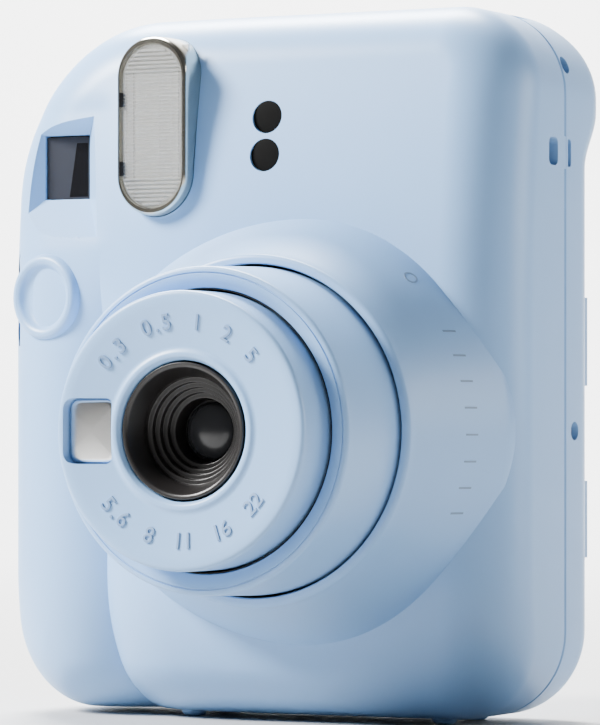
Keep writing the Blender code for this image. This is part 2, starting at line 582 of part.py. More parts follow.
def build_transport(black, grey, steel, white):
    upward, downward, pitch = math.pi / 2, -math.pi / 2, MODULE / 2
    upper_z = ROLLER_Z - pitch * (ROLLER_TEETH + IDLER_TEETH) - 0.05
    lower_z = upper_z - pitch * 2 * IDLER_TEETH - 0.05
    pinion_z = lower_z - pitch * (IDLER_TEETH + PINION_TEETH) - 0.05
    gear("motor_pinion", PINION_TEETH, DRIVE_Y, pinion_z, upward, steel, 0.75)
    gear("idler_gear_lower", IDLER_TEETH, DRIVE_Y, lower_z, gap_phase(IDLER_TEETH, downward), white, 1.5)
    gear("idler_gear_upper", IDLER_TEETH, DRIVE_Y, upper_z, gap_phase(IDLER_TEETH, downward), white, 1.5)
    drive_phase = gap_phase(ROLLER_TEETH, downward)
    gear("drive_roller_gear", ROLLER_TEETH, DRIVE_Y, ROLLER_Z, drive_phase, white, 1.35)
    pressure_phase = gap_phase(ROLLER_TEETH, math.pi - drive_phase)
    gear("pressure_roller_gear", ROLLER_TEETH, PRESSURE_Y, ROLLER_Z, pressure_phase, white, 1.35)

    for name, y in (("drive_roller", DRIVE_Y), ("pressure_roller", PRESSURE_Y)):
        profile = [(0, -24.4), (1.05, -24.4), (1.05, -18.2), (ROLLER_R, -18.2), (ROLLER_R, 43.4),
                   (1.05, 43.4), (1.05, 46.6), (0, 46.6)]
        roller = make(name, turned(profile, "X", (0, y, ROLLER_Z), 20, False), black)
        set_origin(roller, (0, y, ROLLER_Z))
    frame = make("roller_frame", box((-20.6, 19.4, 105.6), (45.6, 35.4, 115.2)), steel)
    combine(frame, make("inside", box((-19.2, 12.0, 100.0), (44.2, 34.2, 130.0)), None))
    for y in (DRIVE_Y, PRESSURE_Y):
        combine(frame, make("bore", rod("X", (0, y, ROLLER_Z), 1.35, -30, 60, 12), None))

    profile = [(0, -46.0), (5.6, -46.0), (5.6, -26.0), (0.55, -26.0), (0.55, -22.8), (0, -22.8)]
    make("motor", turned(profile, "X", (0, DRIVE_Y, pinion_z), 20, False), steel)

    chamber = make("film_chamber", box((-21.6, 20.0, 10.6), (47.8, PACK_HIGH[1], 104.0)), black)
    combine(chamber, make("pack_space", box(PACK_LOW, (PACK_HIGH[0], 45.0, PACK_HIGH[2])), None))

    def window(grow, narrow_y, wide_y):
        small = [(LENS_X + sx * (15.0 + grow), narrow_y, LENS_Z + sz * (17.0 + grow))
                 for sx, sz in ((-1, -1), (1, -1), (1, 1), (-1, 1))]
        large = [(LENS_X + sx * (23.0 + grow), wide_y, LENS_Z + sz * (31.0 + grow))
                 for sx, sz in ((-1, -1), (1, -1), (1, 1), (-1, 1))]
        return loft([small, large])
    combine(chamber, make("dark_box", window(1.4, 10.5, 20.6), None), "UNION")
    combine(chamber, make("light_path", window(0.0, 10.2, 22.0), None))
    exit_slot = box((-18.0, 22.0, 98.0), (45.0, 25.0, 108.0))
    combine(chamber, make("exit_slot", exit_slot, None))
    for z in (lower_z, upper_z):
        shaft = rod("X", (0, DRIVE_Y, z), 1.2, -24.6, -21.0, 10)
        combine(chamber, make("shaft", shaft, None), "UNION")

    flap = box((-15.2, 25.2, 118.6), (42.6, 28.6, 119.4))
    set_origin(make("film_exit_flap", flap, black), (14.0, 28.4, 119.0))


# ---------------------------------------------------------------- fittings of the rear half

def build_rear_details(steel, glass, blue, white):
    make("film_door_pin", rod("Z", (*FILM_HINGE, 0), 0.75, 16.2, 89.8, 10), steel)
    make("battery_door_pin", rod("Z", (*BATTERY_HINGE, 0), 0.75, 16.2, 61.8, 10), steel)
    window = box((8.3, 37.3, 42.3), (15.7, 38.7, 67.7))
    make("pack_window", window, glass)
    latch = make("door_latch", box((-18.0, 37.2, 74.4), (-12.8, 38.6, 86.6)), blue)
    combine(latch, make("thumb", box((-17.4, 38.0, 77.6), (-13.4, 40.2, 84.0)), None), "UNION")
    set_origin(latch, (-15.4, 38.0, 80.0))
    make("latch_spring", coil("Z", (-15.4, 37.9, 0), 0.6, 0.16, 71.6, 73.9, 2.5, 4, 8), steel)
    for name, x in (("pack_spring_left", -6.0), ("pack_spring_right", 33.0)):
        points = [(36.7, 30), (36.7, 36), (35.5, 52), (36.7, 68), (36.7, 74), (36.4, 74), (36.4, 68),
                  (35.1, 52), (36.4, 36), (36.4, 30)]
        make(name, prism(points, "X", x - 4, x + 4), steel)
    dial = rod("Y", (-37.0, 0, 75.2), 8.2, 34.2, 35.4, 30)
    set_origin(make("counter_dial", dial, white), (-37.0, 34.8, 75.2))
    make("counter_window", box((-40.7, 37.3, 77.3), (-33.3, 38.7, 82.7)), glass)
    for name, side in (("side_screw_right", 1), ("side_screw_left", -1)):
        low, high = sorted((side * 48.6, side * 51.0))
        screw = make(name, rod("X", (0, 28.2, 50.4), 1.3, low, high, 12), steel)
        cross_low, cross_high = sorted((side * 50.4, side * 53.0))
        for half_y, half_z in ((0.8, 0.16), (0.16, 0.8)):
            slot = box((cross_low, 28.2 - half_y, 50.4 - half_z), (cross_high, 28.2 + half_y, 50.4 + half_z))
            combine(screw, make("slot", slot, None))


def main():
    for item in list(bpy.data.objects):
        bpy.data.objects.remove(item, do_unlink=True)
    blue = material("blue_plastic", (0.56, 0.70, 0.86), 0.45)
    black = material("black_plastic", (0.02, 0.02, 0.022), 0.4)
    grey = material("grey_plastic", (0.20, 0.24, 0.22), 0.5)
    white = material("white_plastic", (0.80, 0.80, 0.78), 0.4)
    glass = material("glass", (0.85, 0.88, 0.90), 0.05, 0.0, 0.35)
    mirror = material("mirror", (0.92, 0.93, 0.94), 0.05, 1.0)
    silver = material("silver_trim", (0.78, 0.75, 0.69), 0.15, 1.0)
    steel = material("steel", (0.60, 0.60, 0.60), 0.3, 1.0)
    orange = material("cell_wrap", (0.75, 0.36, 0.10), 0.35)
    build_front_cover(blue)
    build_rear_covers(blue)
    build_lens(blue, black, glass, mirror, grey)
    build_front_details(blue, silver, glass, black, grey, steel)
    build_power(black, steel, orange)
    build_transport(black, grey, steel, white)
    build_rear_details(steel, glass, blue, white)


main()
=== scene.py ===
"""Looks for the instant camera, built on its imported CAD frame. Shapes are drawn in millimetres.

X runs to the viewer's right, -Y is the front, +Z is up, as in the frame.
"""

import math

import bmesh
import bpy
from mathutils import Matrix, Vector


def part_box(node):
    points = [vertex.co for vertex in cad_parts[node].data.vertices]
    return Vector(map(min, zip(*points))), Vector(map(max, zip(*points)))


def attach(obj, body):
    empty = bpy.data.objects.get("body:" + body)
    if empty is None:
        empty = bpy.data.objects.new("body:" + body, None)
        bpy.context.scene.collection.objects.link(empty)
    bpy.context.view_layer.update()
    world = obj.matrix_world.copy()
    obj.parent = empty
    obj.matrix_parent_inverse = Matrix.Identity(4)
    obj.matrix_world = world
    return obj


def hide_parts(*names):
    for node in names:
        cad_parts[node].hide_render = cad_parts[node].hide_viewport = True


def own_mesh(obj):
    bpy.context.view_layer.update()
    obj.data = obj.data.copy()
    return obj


MM = 0.001
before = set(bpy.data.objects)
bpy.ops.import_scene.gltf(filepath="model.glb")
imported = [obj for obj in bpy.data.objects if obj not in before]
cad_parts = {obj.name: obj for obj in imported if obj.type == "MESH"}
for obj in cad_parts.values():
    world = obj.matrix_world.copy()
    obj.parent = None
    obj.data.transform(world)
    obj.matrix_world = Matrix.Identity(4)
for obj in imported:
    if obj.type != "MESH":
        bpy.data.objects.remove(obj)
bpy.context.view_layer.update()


def span(node):
    """A CAD node's lowest and highest corners, in millimetres."""
    low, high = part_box(node)
    return low / MM, high / MM


def middle(node):
    low, high = span(node)
    return (low + high) / 2


# ---------------------------------------------------------------- places that come from the frame

front_low, front_high = span("front_cover")
rear_low, rear_high = span("rear_cover")
barrel_low, barrel_high = span("lens_barrel")
ring_low, ring_high = span("lens_ring")
bezel_low, bezel_high = span("flash_bezel")
finder_low, finder_high = span("viewfinder_window")
mirror_low, mirror_high = span("selfie_mirror")
lens_dome_low, lens_dome_high = span("front_lens")
door_low, door_high = span("film_door")

LEFT, RIGHT, TOP = front_low.x, front_high.x, front_high.z
FOOT = 1.0
BOTTOM = front_low.z + FOOT
SEAM_FRONT, SEAM_REAR = front_high.y, rear_low.y
RIDGE_Y = rear_high.y
REAR_Y = RIDGE_Y - 5.0
LENS_X, LENS_Z = middle("lens_barrel").x, middle("lens_barrel").z
FACE_Y, BARREL_R = barrel_low.y, (barrel_high.x - barrel_low.x) / 2
RING_R, RING_FRONT, RING_BACK = (ring_high.x - ring_low.x) / 2, ring_low.y, ring_high.y
FLASH_X, FLASH_Z, FLASH_Y = middle("flash_bezel").x, middle("flash_bezel").z, bezel_low.y
FLASH_W, FLASH_H = (bezel_high.x - bezel_low.x) / 2, (bezel_high.z - bezel_low.z) / 2

# Shapes that the frame shows only coarsely
RADIUS_TOP_LEFT, RADIUS_TOP_RIGHT, RADIUS_BOTTOM_LEFT, RADIUS_BOTTOM_RIGHT = 31.0, 15.0, 15.7, 15.0
EDGE_LEFT, EDGE_RIGHT, EDGE_TOP, EDGE_BOTTOM, EDGE_REAR = 14.0, 12.0, 9.0, 9.0, 8.0
FRONT_Y = -1.0
HUMP_FRONT, HUMP_BASE, HUMP_R, HUMP_HOLE = -19.1, 4.0, 29.6, 27.9
HUMP_RIGHT, HUMP_LEFT, HUMP_TALL = 37.2, 46.0, 37.8
BUTTON = Vector((-38.8, 3.1, 74.1))
BUTTON_TURN = math.radians(13.0)
BUTTON_WELL = 8.1
HINGE_X, HINGE_Y = 47.2, 37.5
VIEW = (-0.4564, 0.8898)


# ---------------------------------------------------------------- materials

def surface(name, colour, second, roughness, spread=0.05, metallic=0.0, patch=60.0, grain=4000.0,
            bump=0.1, stretch=(1.0, 1.0, 1.0)):
    """A shader whose colour and gloss drift a little over the piece, with a fine grain in its surface."""
    made = bpy.data.materials.new(name)
    made.use_nodes = True
    nodes, links = made.node_tree.nodes, made.node_tree.links
    shader = nodes["Principled BSDF"]
    place = nodes.new("ShaderNodeTexCoord")
    mapping = nodes.new("ShaderNodeMapping")
    mapping.inputs["Scale"].default_value = stretch
    links.new(place.outputs["Object"], mapping.inputs["Vector"])
    drift = nodes.new("ShaderNodeTexNoise")
    drift.inputs["Scale"].default_value = patch
    drift.inputs["Detail"].default_value = 3.0
    links.new(mapping.outputs["Vector"], drift.inputs["Vector"])
    tint = nodes.new("ShaderNodeValToRGB")
    tint.color_ramp.elements[0].position = 0.3
    tint.color_ramp.elements[0].color = (*colour, 1.0)
    tint.color_ramp.elements[1].position = 0.7
    tint.color_ramp.elements[1].color = (*second, 1.0)
    links.new(drift.outputs["Fac"], tint.inputs["Fac"])
    links.new(tint.outputs["Color"], shader.inputs["Base Color"])
    fine = nodes.new("ShaderNodeTexNoise")
    fine.inputs["Scale"].default_value = grain
    fine.inputs["Detail"].default_value = 2.0
    links.new(mapping.outputs["Vector"], fine.inputs["Vector"])
    gloss = nodes.new("ShaderNodeMapRange")
    gloss.inputs["To Min"].default_value = roughness - spread
    gloss.inputs["To Max"].default_value = roughness + spread
    links.new(fine.outputs["Fac"], gloss.inputs["Value"])
    links.new(gloss.outputs["Result"], shader.inputs["Roughness"])
    relief = nodes.new("ShaderNodeBump")
    relief.inputs["Strength"].default_value = bump
    relief.inputs["Distance"].default_value = 0.00004
    links.new(fine.outputs["Fac"], relief.inputs["Height"])
    links.new(relief.outputs["Normal"], shader.inputs["Normal"])
    shader.inputs["Metallic"].default_value = metallic
    return made


def clear(name, colour, roughness, transmission=1.0):
    made = surface(name, colour, colour, roughness, 0.02, bump=0.02)
    shader = made.node_tree.nodes["Principled BSDF"]
    shader.inputs["Transmission Weight"].default_value = transmission
    shader.inputs["IOR"].default_value = 1.46
    return made


blue = surface("pastel_blue", (0.25, 0.45, 0.76), (0.262, 0.462, 0.77), 0.38, 0.04, bump=0.10)
# Darker blue for the raised numbers, which are the body's blue plastic: painted shade for their relief.
mark_shade_blue = surface("marking_painted_shade_blue", (0.16, 0.28, 0.48), (0.18, 0.30, 0.50), 0.45)
line_blue = surface("line_blue", (0.15, 0.23, 0.36), (0.17, 0.25, 0.38), 0.5)
# Near black for inside the strap slots: painted shade.
slot_painted_shade = surface("slot_painted_shade", (0.008, 0.012, 0.022), (0.012, 0.016, 0.026), 0.7)
# Dark blue for the button's well: painted shade in the recess. The well itself is the body's blue plastic.
well_shade_blue = surface("well_painted_shade_blue", (0.05, 0.09, 0.15), (0.06, 0.10, 0.16), 0.6)
black = surface("satin_black", (0.007, 0.006, 0.006), (0.010, 0.009, 0.009), 0.34, 0.05)
matt_black = surface("matt_black", (0.006, 0.006, 0.006), (0.009, 0.009, 0.009), 0.6, 0.05)
gloss_black = surface("gloss_black", (0.006, 0.006, 0.007), (0.008, 0.008, 0.009), 0.08, 0.02)
sensor_black = surface("sensor_black", (0.001, 0.001, 0.001), (0.002, 0.002, 0.002), 0.5, bump=0.01)
sensor_black.node_tree.nodes["Principled BSDF"].inputs["Specular IOR Level"].default_value = 0.08
champagne = surface("champagne_plating", (0.60, 0.57, 0.49), (0.64, 0.61, 0.53), 0.17, 0.03, 1.0, bump=0.03)
reflector_metal = surface("reflector_metal", (0.94, 0.94, 0.92), (0.97, 0.97, 0.96), 0.26, 0.05, 0.25)
steel = surface("brushed_steel", (0.52, 0.52, 0.53), (0.62, 0.62, 0.62), 0.3, 0.08, 1.0,
                stretch=(1.0, 1.0, 0.05))
brass = surface("cut_brass", (0.72, 0.56, 0.26), (0.78, 0.62, 0.32), 0.28, 0.06, 1.0)
mirror = surface("mirror_plating", (0.90, 0.90, 0.89), (0.92, 0.92, 0.91), 0.24, 0.02, 1.0, bump=0.01)
rubber = surface("ground_rubber", (0.020, 0.020, 0.021), (0.034, 0.034, 0.034), 0.75, 0.06, bump=0.4)
white = surface("natural_white", (0.76, 0.76, 0.73), (0.80, 0.80, 0.77), 0.38)
board = surface("solder_mask", (0.02, 0.14, 0.06), (0.04, 0.20, 0.09), 0.4, patch=220.0)
wrap = surface("cell_wrap", (0.66, 0.28, 0.07), (0.72, 0.33, 0.09), 0.3)
clear_plastic = clear("clear_plastic", (0.96, 0.97, 0.97), 0.06)
flash_plastic = clear("flash_plastic", (0.94, 0.94, 0.92), 0.07, 0.80)
lens_glass = surface("coated_glass", (0.022, 0.023, 0.026), (0.028, 0.029, 0.033), 0.22, 0.02, bump=0.01)
finder_glass = surface("finder_glass", (0.030, 0.032, 0.040), (0.036, 0.038, 0.046), 0.07, 0.02, bump=0.01)


# ---------------------------------------------------------------- pieces

def piece(name, points, faces, finish, body="camera_body", slot=None, stands_for=()):
    """A smooth-shaded object from points in millimetres, riding on a body."""
    mesh = bpy.data.meshes.new(name)
    mesh.from_pydata([(x * MM, y * MM, z * MM) for x, y, z in points], [], faces)
    made = bpy.data.objects.new(name, mesh)
    bpy.context.scene.collection.objects.link(made)
    mesh.materials.append(finish)
    return settle(made, body, stands_for)


def settle(made, body, stands_for=(), angle=32.0):
    bm = bmesh.new()
    bm.from_mesh(made.data)
    bmesh.ops.remove_doubles(bm, verts=bm.verts, dist=1e-8)
    bmesh.ops.recalc_face_normals(bm, faces=bm.faces)
    if bm.calc_volume(signed=True) < 0:
        bmesh.ops.reverse_faces(bm, faces=bm.faces)
    bm.to_mesh(made.data)
    bm.free()
    made.data.shade_smooth()
    made.data.set_sharp_from_angle(angle=math.radians(angle))
    if body is not None:
        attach(made, body)
    if stands_for:
        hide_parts(*stands_for)
    return made


def skin(rings, start=None, end=None):
    """Points and faces over closed rings of equal count. start and end close a side on one point."""
    count = len(rings[0])
    points = [point for ring in rings for point in ring]
    faces = []
    for r in range(len(rings) - 1):
        base = r * count
        for k in range(count):
            n = (k + 1) % count
            faces.append((base + k, base + n, base + count + n, base + count + k))
    last = (len(rings) - 1) * count
    for base, tip in ((0, start), (last, end)):
        if tip is None:
            faces.append(tuple(range(base, base + count)))
            continue
        points.append(tip)
        faces.extend((base + k, base + (k + 1) % count, len(points) - 1) for k in range(count))
    return points, faces


def rounded(corners, steps=5):
    """A closed outline from (u, v, cut): each corner is set back by its cut and bridged by a curve."""
    made = []
    for i, (u, v, cut) in enumerate(corners):
        corner = Vector((u, v))
        if cut == 0:
            made.append((u, v))
            continue
        before = Vector(corners[i - 1][:2]) - corner
        after = Vector(corners[(i + 1) % len(corners)][:2]) - corner
        start, end = corner + before.normalized() * cut, corner + after.normalized() * cut
        for k in range(steps + 1):
            s = k / steps
            made.append(tuple(start * (1 - s) ** 2 + corner * 2 * s * (1 - s) + end * s * s))
    return made


def turned(profile, centre=(LENS_X, 0.0, LENS_Z), steps=144, axis="Y"):
    """Turn a closed profile of (radius, distance) about an axis through centre."""
    rings = []
    for radius, along in profile:
        ring = []
        for k in range(steps):
            angle = 2 * math.pi * k / steps
            u, v = radius * math.cos(angle), radius * math.sin(angle)
            offset = {"X": (along, u, v), "Y": (u, along, v), "Z": (u, v, along)}[axis]
            ring.append((centre[0] + offset[0], centre[1] + offset[1], centre[2] + offset[2]))
        rings.append(ring)
    rings.append(rings[0])
    points, faces = skin(rings)
    return points, faces[:-2]


def solid_turned(profile, **where):
    """As turned, for a profile that starts and ends on the axis, where it closes on single points."""
    (x, y, z), axis = where.get("centre", (LENS_X, 0.0, LENS_Z)), where.get("axis", "Y")
    count = where.get("steps", 144)
    points, faces = turned(profile[1:-1], **where)
    points = points[:-count]
    rings = [points[k:k + count] for k in range(0, len(points), count)]
    ends = []
    for radius, along in (profile[0], profile[-1]):
        shift = {"X": (along, 0, 0), "Y": (0, along, 0), "Z": (0, 0, along)}[axis]
        ends.append((x + shift[0], y + shift[1], z + shift[2]))
    return skin(rings, *ends)


def prism(outline_uv, axis, low, high):
    def at(u, v, along):
        return {"X": (along, u, v), "Y": (u, along, v), "Z": (u, v, along)}[axis]
    return skin([[at(u, v, low) for u, v in outline_uv], [at(u, v, high) for u, v in outline_uv]])


def rectangle(u0, u1, v0, v1, cut=0.0):
    corners = [(u0, v0, cut), (u1, v0, cut), (u1, v1, cut), (u0, v1, cut)]
    return rounded(corners)


def pill(half_width, half_height, steps=40):
    """Points (x, z) of an upright pill round the flash's centre."""
    rise = half_height - half_width
    points = []
    for side, start in ((rise, 0.0), (-rise, math.pi)):
        for k in range(steps + 1):
            angle = start + math.pi * k / steps
            points.append((FLASH_X + half_width * math.cos(angle),
                           FLASH_Z + side + half_width * math.sin(angle)))
    return points


def together(*shapes):
    """Several shapes' points and faces as one."""
    points, faces = [], []
    for more_points, more_faces in shapes:
        base = len(points)
        points.extend(more_points)
        faces.extend(tuple(base + i for i in face) for face in more_faces)
    return points, faces


def box(x0, x1, y0, y1, z0, z1, cut=0.0):
    return prism(rectangle(x0, x1, z0, z1, cut), "Y", y0, y1)


def combine(made, shape, operation="DIFFERENCE", solver="EXACT"):
    """Cut or intersect an object with a shape."""
    tool = piece("tool", *shape, blue, body=None)
    modifier = made.modifiers.new("Boolean", "BOOLEAN")
    modifier.operation = operation
    modifier.solver = solver
    modifier.object = tool
    bpy.context.view_layer.update()
    graph = bpy.context.evaluated_depsgraph_get()
    mesh = bpy.data.meshes.new_from_object(made.evaluated_get(graph))
    made.modifiers.clear()
    made.data = mesh
    bpy.data.objects.remove(tool, do_unlink=True)
    mesh.set_sharp_from_angle(angle=math.radians(32))
    return made


# ---------------------------------------------------------------- the body's two halves

def outline(inset, spacing):
    """Points (x, z, normal x, normal z) round the body. Every inset has the same number of points."""
    corners = ((RIGHT, TOP, RADIUS_TOP_RIGHT, 0), (LEFT, TOP, RADIUS_TOP_LEFT, 90),
               (LEFT, BOTTOM, RADIUS_BOTTOM_LEFT, 180), (RIGHT, BOTTOM, RADIUS_BOTTOM_RIGHT, 270))
    arcs = []
    for x, z, radius, start in corners:
        middle_x, middle_z = x - math.copysign(radius, x), (z - radius if z == TOP else z + radius)
        steps = math.ceil(radius * math.pi / 2 / spacing)
        arc = []
        for k in range(steps + 1):
            angle = math.radians(start + 90 * k / steps)
            nx, nz = math.cos(angle), math.sin(angle)
            arc.append((middle_x + (radius - inset) * nx, middle_z + (radius - inset) * nz, nx, nz))
        arcs.append(arc)
    points = []
    for arc, after in zip(arcs, arcs[1:] + arcs[:1]):
        points.extend(arc)
        ax, az, nx, nz = arc[-1]
        bx, bz = after[0][:2]
        steps = math.ceil(math.hypot(bx - ax, bz - az) / spacing)
        points.extend((ax + (bx - ax) * k / steps, az + (bz - az) * k / steps, nx, nz)
                      for k in range(1, steps))
    return points


def ease(value):
    value = min(1.0, max(0.0, value))
    return value * value * (3 - 2 * value)


def lean(x, z):
    """The front face without the finger valley: it leans back to the top, the bottom and the left."""
    return (FRONT_Y + 0.0024 * max(0.0, z - 71) ** 2 + 0.010 * max(0.0, 26 - z) ** 2
            + 0.0030 * max(0.0, -4 - x) ** 2)


def valley_share(z):
    return ease((84 - z) / 26)


def finder_lip(x, z):
    """A slight rounding of the face towards the viewfinder's recess."""
    out_x = max(-45.8 - x, x + 28.6, 0.0)
    out_z = max(86.2 - z, z - 106.4, 0.0)
    return 0.30 * math.exp(-(math.hypot(out_x, out_z) / 2.4) ** 2)


def block_y(x, z):
    """The main face, whose left edge rounds back into the valley."""
    edge = -14.0 + 0.008 * max(0.0, 24 - z) ** 2
    reach = min(1.0, max(0.0, (edge - x) / 14.0))
    return lean(x, z) + 5.6 * valley_share(z) * (1 - math.sqrt(1 - reach * reach)) + finder_lip(x, z)


def grip_y(x, z):
    """The grip's column, which falls away to the right into the valley and then stays behind the block."""
    sink = 0.05 * ease((z - 82) / 3) - 0.02
    return lean(x, z) + finder_lip(x, z) + sink + valley_share(z) * min(5.8, 0.028 * max(0.0, x + 38) ** 2)


def front_shell(depth_at, spacing, inner):
    """Rings of the front half, from the middle of its inside, round the seam, to the middle of its face."""
    edge = outline(0.0, spacing)
    centre_x, centre_z = 2.0, 62.0

    def toward(points, part):
        return [(centre_x + (x - centre_x) * part, centre_z + (z - centre_z) * part) for x, z in points]
    rings = []
    inside = [(x - 4 * nx, z - 4 * nz) for x, z, nx, nz in edge]
    for part in (0.3, 0.6, 0.8, 0.9, 1.0):
        rings.append([(x, lean(x, z) + 6.0 + 8.0 * part ** 8, z) for x, z in toward(inside, part)])
    rings.append([(x - 2 * nx, SEAM_FRONT, z - 2 * nz) for x, z, nx, nz in edge])
    rings.append([(x - 0.3 * nx, SEAM_FRONT, z - 0.3 * nz) for x, z, nx, nz in edge])
    rings.append([(x, SEAM_FRONT - 0.3, z) for x, z, nx, nz in edge])
    steps = 20
    for k in range(steps + 1):
        turn = math.radians(90 * k / steps)
        ring = []
        for x, z, nx, nz in edge:
            side = EDGE_RIGHT if nx > 0 else EDGE_LEFT
            end = EDGE_TOP if nz > 0 else EDGE_BOTTOM
            radius = side * nx * nx + end * nz * nz
            inward = radius * (1 - math.cos(turn))
            px, pz = x - nx * inward, z - nz * inward
            ring.append((px, depth_at(px, pz) + radius * (1 - math.sin(turn)), pz))
        rings.append(ring)
    last = rings[-1]
    for k in range(1, inner):
        flat = toward([(x, z) for x, y, z in last], 1 - k / inner)
        rings.append([(x, depth_at(x, z), z) for x, z in flat])
    start = (centre_x, lean(centre_x, centre_z) + 6.0, centre_z)
    return skin(rings, start, (centre_x, depth_at(centre_x, centre_z), centre_z))


def along_button(shape):
    points, faces = shape
    turn = Matrix.Rotation(-BUTTON_TURN, 4, "Z")
    return [tuple(BUTTON + turn @ Vector(point)) for point in points], faces


def build_front():
    fine = 0.55
    rings = 130
    shell = piece("front_shell", *front_shell(block_y, fine, rings), blue, "camera_body", "blue_plastic",
                  ("front_cover",))
    funnel = skin([[(-56.5, -2, 77.5), (-24.9, -2, 80.0), (-24.9, -2, 110.0), (-55.0, -2, 111.0)],
                   [(-42.3, 8.6, 91.6), (-33.1, 8.6, 91.6), (-33.1, 8.6, 103.0), (-42.3, 8.6, 103.0)],
                   [(-42.3, 26, 91.6), (-33.1, 26, 91.6), (-33.1, 26, 103.0), (-42.3, 26, 103.0)]])
    cutters = [funnel, prism(pill(FLASH_W + 0.15, FLASH_H + 0.15), "Y", -10, 22),
               solid_turned([(0, -12), (29.0, -12), (29.0, 20), (0, 20)], steps=96),
               along_button(solid_turned(
                   [(0, -8), (BUTTON_WELL, -8), (BUTTON_WELL, 16), (0, 16)], centre=(0, 0, 0), steps=96)),
               prism(rectangle(17.3, 21.1, 95.8, 100.6, 1.3), "X", 44, 56)]
    for node in ("sensor_window_upper", "sensor_window_lower"):
        spot = middle(node)
        cutters.append(solid_turned([(0, -8), (2.85, -8), (2.85, 18), (0, 18)],
                                    centre=(spot.x, 0, spot.z), steps=64))
    combine(shell, together(*cutters))
    shell.data.set_sharp_from_angle(angle=math.radians(20))

    grip = piece("grip_column", *front_shell(grip_y, fine, rings), blue, "camera_body", "blue_plastic")
    keep = bmesh.new()
    keep.from_mesh(grip.data)
    unwanted = []
    for face in keep.faces:
        spot = face.calc_center_median() / MM
        hidden = spot.x > -21.0 or spot.z > 84.5 or spot.y > SEAM_FRONT - 0.2
        inward = face.normal.y > 0.3
        beside = math.hypot(spot.x - BUTTON.x, spot.z - BUTTON.z) < 12
        if hidden or inward or (beside and spot.y > 8):
            unwanted.append(face)
    bmesh.ops.delete(keep, geom=unwanted, context="FACES")
    keep.to_mesh(grip.data)
    keep.free()
    return shell, grip


build_front()


def hump_point(angle, part, out=0.0):
    """A point on the hump's flank: part runs from 0 at its front edge to 1 where it meets the body."""
    wide = HUMP_RIGHT if math.cos(angle) > 0 else HUMP_LEFT
    spread = min(part, 1.0)
    reach_x = HUMP_R + (wide - HUMP_R) * spread + out
    reach_z = HUMP_R + (HUMP_TALL - HUMP_R) * spread + out
    depth = HUMP_FRONT + 0.8 + (HUMP_BASE - HUMP_FRONT - 0.8) * part
    return (LENS_X + reach_x * math.cos(angle), depth, LENS_Z + reach_z * math.sin(angle))


def build_hump():
    steps = 240
    angles = [2 * math.pi * k / steps for k in range(steps)]

    def circle(radius, depth):
        return [(LENS_X + radius * math.cos(a), depth, LENS_Z + radius * math.sin(a)) for a in angles]
    rings = [circle(HUMP_HOLE, -11.0), circle(HUMP_HOLE, HUMP_FRONT + 0.25),
             circle(HUMP_HOLE + 0.2, HUMP_FRONT)]
    for k in range(8):
        turn = math.radians(90 * k / 7)
        rings.append(circle(HUMP_R - 0.9 + 0.9 * math.sin(turn), HUMP_FRONT + 0.8 * (1 - math.cos(turn))))
    rings.extend([hump_point(a, k / 20) for a in angles] for k in range(1, 27))
    rings.append([(x + (LENS_X - x) * 0.06, y, z + (LENS_Z - z) * 0.06) for x, y, z in rings[-1]])
    points, faces = skin(rings)
    return piece("lens_hump", points, faces[:-2], blue, "camera_body", "blue_plastic")


def build_marks():
    """Eight short level lines down the hump's right side, and a ring above them for the closed position."""
    shapes = []
    for k in range(8):
        height = (HUMP_R + (HUMP_TALL - HUMP_R) * 0.61) * math.sin(math.radians(28.7 - 7.43 * k))
        rows = []
        for out in (0.06, -0.3):
            row = []
            for side, parts in ((-0.15, (0.54, 0.58, 0.62, 0.66)), (0.15, (0.66, 0.62, 0.58, 0.54))):
                for part in parts:
                    tall = HUMP_R + (HUMP_TALL - HUMP_R) * part
                    row.append(hump_point(math.asin((height + side) / tall), part, out))
            rows.append(row)
        shapes.append(skin(rows))
    piece("hump_marks", *together(*shapes), line_blue)
    around = []
    angle = math.radians(48.0)
    for k in range(29):
        turn = 2 * math.pi * k / 28
        row = []
        for reach, out in ((1.0, -0.2), (1.0, 0.05), (1.35, 0.05), (1.35, -0.2)):
            row.append(hump_point(angle + reach * 0.028 * math.cos(turn),
                                  0.60 + reach * 0.040 * math.sin(turn), out))
        around.append(row)
    points, faces = skin(around)
    piece("hump_zero_mark", points, faces[:-2], line_blue)


build_hump()
build_marks()


# ---------------------------------------------------------------- rear half and doors

def back_y(z):
    """The back's depth, with the roller housing's ridge near the top."""
    return REAR_Y + (RIDGE_Y - REAR_Y) * ease((z - 96.0) / 10.0)


